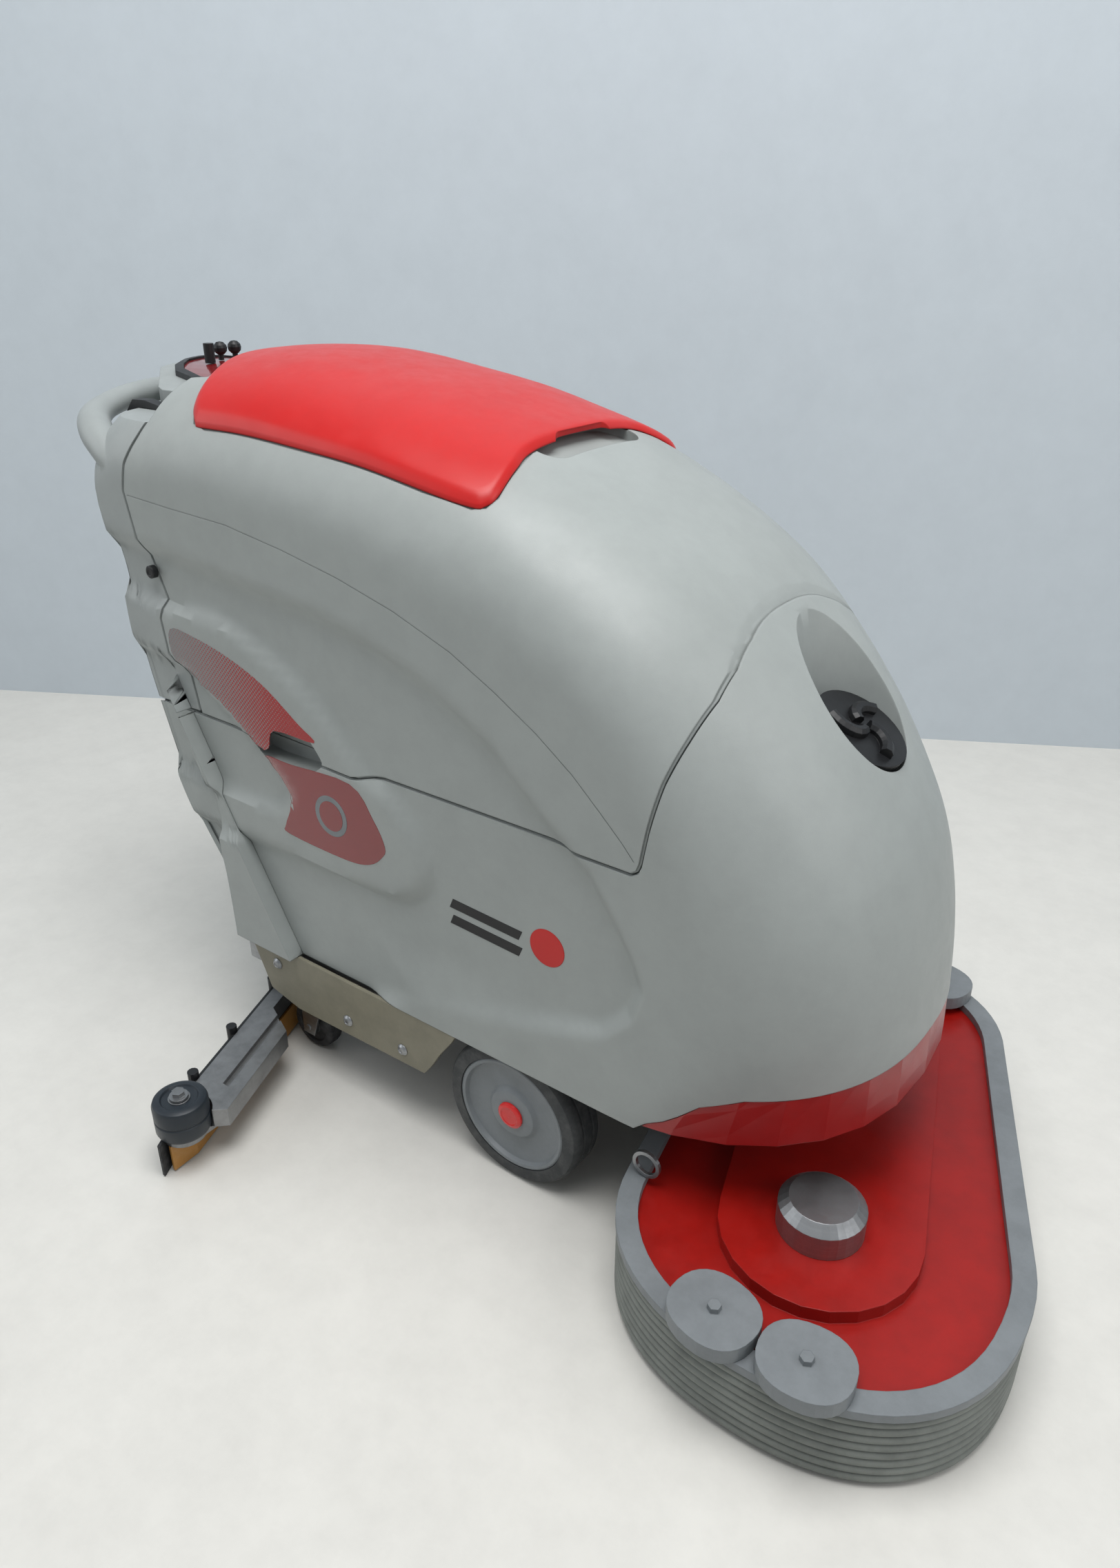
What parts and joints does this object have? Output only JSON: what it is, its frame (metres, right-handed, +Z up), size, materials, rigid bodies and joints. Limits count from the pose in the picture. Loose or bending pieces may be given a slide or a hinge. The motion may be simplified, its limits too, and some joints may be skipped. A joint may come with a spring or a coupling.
{
  "type": "walk-behind floor scrubber dryer",
  "caption": "Pedestrian floor scrubber dryer with offset disc brushes on a lifting deck, a swept squeegee on a lifting arm, tilting recovery tank with hinged lid, and a bow handle.",
  "frame": {"origin": "centre of the overall bounding box in plan, at floor level", "axes": "+X forward, the way the machine drives; +Y the machine's left; +Z up"},
  "size_m": [1.5082, 1.06, 1.0357],
  "materials": {
    "shell": "rotomoulded polyethylene, light warm grey, fine orange-peel surface",
    "column": "rotomoulded polyethylene, light grey, slightly smoother",
    "lid_red": "satin signal red moulding",
    "hub_red": "glossy red hub cap",
    "deck_red": "painted dark red deck cover",
    "trim_red": "dark red bumper band",
    "panel_red": "dark red glossy control film",
    "panel_grey": "satin painted steel, warm grey",
    "skirt_grey": "ribbed flexible splash skirt",
    "rim_grey": "light grey moulded rim",
    "black_plastic": "textured black moulding",
    "black_rubber": "matt black rubber",
    "tyre": "dark grey solid tyre",
    "roller_plastic": "smooth blue-black bumper roller",
    "cast_metal": "cast aluminium, lightly worn",
    "steel": "zinc plated steel",
    "amber_rubber": "amber squeegee blade rubber",
    "bristle": "blue polypropylene bristle",
    "battery_case": "dark grey battery case"
  },
  "bodies": {
    "chassis": {"solution_tank": "shell", "nose_bumper": "trim_red", "filler_neck": "black_plastic", "chassis_frame": "steel", "battery_rear": "battery_case", "battery_front": "battery_case", "drive_unit": "steel", "side_panel_right": "panel_grey", "side_panel_left": "panel_grey"},
    "filler_cap": {"filler_cap": "black_plastic"},
    "upper_body": {"recovery_tank": "shell", "rear_column": "column", "lid_gasket": "black_rubber", "float_basket": "black_plastic", "vacuum_motor": "black_plastic", "dash_console": "column", "panel_gasket": "black_plastic", "panel_film": "panel_red"},
    "lid": {"lid": "lid_red"},
    "traction_lever": {"traction_lever": "black_plastic"},
    "key_switch": {"key_switch": "black_plastic"},
    "water_knob": {"water_knob": "black_plastic"},
    "pressure_knob": {"pressure_knob": "black_plastic"},
    "brush_deck": {"deck_cover": "deck_red", "deck_rim": "rim_grey", "deck_skirt": "skirt_grey", "brush_motor_right": "steel", "brush_motor_left": "steel", "bail_ring": "steel", "bumper_pad_right_1": "rim_grey", "bumper_pad_right_2": "rim_grey", "bumper_pad_left_1": "rim_grey", "bumper_pad_left_2": "rim_grey"},
    "brush_right": {"brush_right": "bristle"},
    "brush_left": {"brush_left": "bristle"},
    "lift_arm_right": {"lift_arm_right": "steel"},
    "lift_arm_left": {"lift_arm_left": "steel"},
    "squeegee_arm": {"squeegee_arm": "steel"},
    "squeegee": {"squeegee_body": "cast_metal", "rear_blade": "black_rubber", "front_blade": "amber_rubber", "clamp_strip": "black_plastic", "suction_nozzle": "black_plastic", "roller_bolt_right": "steel", "roller_bolt_left": "steel"},
    "drive_wheel_right": {"drive_tyre_right": "tyre", "drive_rim_right": "rim_grey", "hub_cap_right": "hub_red"},
    "castor_right": {"castor_fork_right": "steel"},
    "castor_wheel_right": {"castor_wheel_right": "black_rubber"},
    "side_roller_right": {"side_roller_right": "roller_plastic"},
    "drive_wheel_left": {"drive_tyre_left": "tyre", "drive_rim_left": "rim_grey", "hub_cap_left": "hub_red"},
    "castor_left": {"castor_fork_left": "steel"},
    "castor_wheel_left": {"castor_wheel_left": "black_rubber"},
    "side_roller_left": {"side_roller_left": "roller_plastic"}
  },
  "joints": [
    {"name": "filler_cap_lift", "type": "slide", "parent": "chassis", "child": "filler_cap", "axis": [0.4983, 0, 0.867], "range_m": [0, 0.12]},
    {"name": "tank_tilt", "type": "hinge", "parent": "chassis", "child": "upper_body", "pos_m": [-0.58887, 0, 0.556], "axis": [0, -1, 0], "range_deg": [0, 75]},
    {"name": "lid_hinge", "type": "hinge", "parent": "upper_body", "child": "lid", "pos_m": [-0.50487, 0, 1.018], "axis": [0, -1, 0], "range_deg": [0, 80]},
    {"name": "traction_lever_pull", "type": "hinge", "parent": "upper_body", "child": "traction_lever", "pos_m": [-0.49287, 0, 0.95], "axis": [0, 1, 0], "range_deg": [0, 2.5], "stiffness_Nm_per_rad": 5, "springref_deg": -5.73},
    {"name": "key_turn", "type": "hinge", "parent": "upper_body", "child": "key_switch", "pos_m": [-0.60687, -0.036, 1.004], "axis": [0, 0, 1], "range_deg": [0, 90]},
    {"name": "water_knob_turn", "type": "hinge", "parent": "upper_body", "child": "water_knob", "pos_m": [-0.61687, -0.008, 1.005], "axis": [0, 0, 1], "range_deg": [0, 270]},
    {"name": "pressure_knob_turn", "type": "hinge", "parent": "upper_body", "child": "pressure_knob", "pos_m": [-0.61687, 0.018, 1.005], "axis": [0, 0, 1], "range_deg": [0, 270]},
    {"name": "deck_lift", "type": "slide", "parent": "chassis", "child": "brush_deck", "axis": [0, 0, 1], "range_m": [0, 0.038]},
    {"name": "brush_spin_right", "type": "hinge", "parent": "brush_deck", "child": "brush_right", "pos_m": [0.51513, -0.182, 0.06], "axis": [0, 0, 1], "continuous": true},
    {"name": "brush_spin_left", "type": "hinge", "parent": "brush_deck", "child": "brush_left", "pos_m": [0.40313, 0.182, 0.06], "axis": [0, 0, 1], "continuous": true},
    {"name": "lift_arm_swing_right", "type": "hinge", "parent": "chassis", "child": "lift_arm_right", "pos_m": [0.15713, -0.055, 0.135], "axis": [0, -1, 0], "range_deg": [0, 15.5]},
    {"name": "lift_arm_swing_left", "type": "hinge", "parent": "chassis", "child": "lift_arm_left", "pos_m": [0.15713, 0.055, 0.135], "axis": [0, -1, 0], "range_deg": [0, 15.5]},
    {"name": "squeegee_lift", "type": "hinge", "parent": "chassis", "child": "squeegee_arm", "pos_m": [-0.20487, 0, 0.14], "axis": [0, 1, 0], "range_deg": [0, 8]},
    {"name": "squeegee_swivel", "type": "hinge", "parent": "squeegee_arm", "child": "squeegee", "pos_m": [-0.46887, 0, 0.094], "axis": [0, 0, 1], "range_deg": [-1.4, 1.4]},
    {"name": "drive_wheel_spin_right", "type": "hinge", "parent": "chassis", "child": "drive_wheel_right", "pos_m": [0.09513, -0.214, 0.109], "axis": [0, 1, 0], "continuous": true},
    {"name": "castor_swivel_right", "type": "hinge", "parent": "chassis", "child": "castor_right", "pos_m": [-0.31087, -0.2, 0.145], "axis": [0, 0, 1], "continuous": true},
    {"name": "castor_spin_right", "type": "hinge", "parent": "castor_right", "child": "castor_wheel_right", "pos_m": [-0.33287, -0.2, 0.042], "axis": [0, 1, 0], "continuous": true},
    {"name": "roller_spin_right", "type": "hinge", "parent": "squeegee", "child": "side_roller_right", "pos_m": [-0.29287, -0.486, 0.083], "axis": [0, 0, 1], "continuous": true},
    {"name": "drive_wheel_spin_left", "type": "hinge", "parent": "chassis", "child": "drive_wheel_left", "pos_m": [0.09513, 0.214, 0.109], "axis": [0, 1, 0], "continuous": true},
    {"name": "castor_swivel_left", "type": "hinge", "parent": "chassis", "child": "castor_left", "pos_m": [-0.31087, 0.2, 0.145], "axis": [0, 0, 1], "continuous": true},
    {"name": "castor_spin_left", "type": "hinge", "parent": "castor_left", "child": "castor_wheel_left", "pos_m": [-0.33287, 0.2, 0.042], "axis": [0, 1, 0], "continuous": true},
    {"name": "roller_spin_left", "type": "hinge", "parent": "squeegee", "child": "side_roller_left", "pos_m": [-0.29287, 0.486, 0.083], "axis": [0, 0, 1], "continuous": true}
  ],
  "couplings": [
    {"joint": "lift_arm_swing_right", "follows": "deck_lift", "rad_per_m": 7},
    {"joint": "lift_arm_swing_left", "follows": "deck_lift", "rad_per_m": 7}
  ]
}
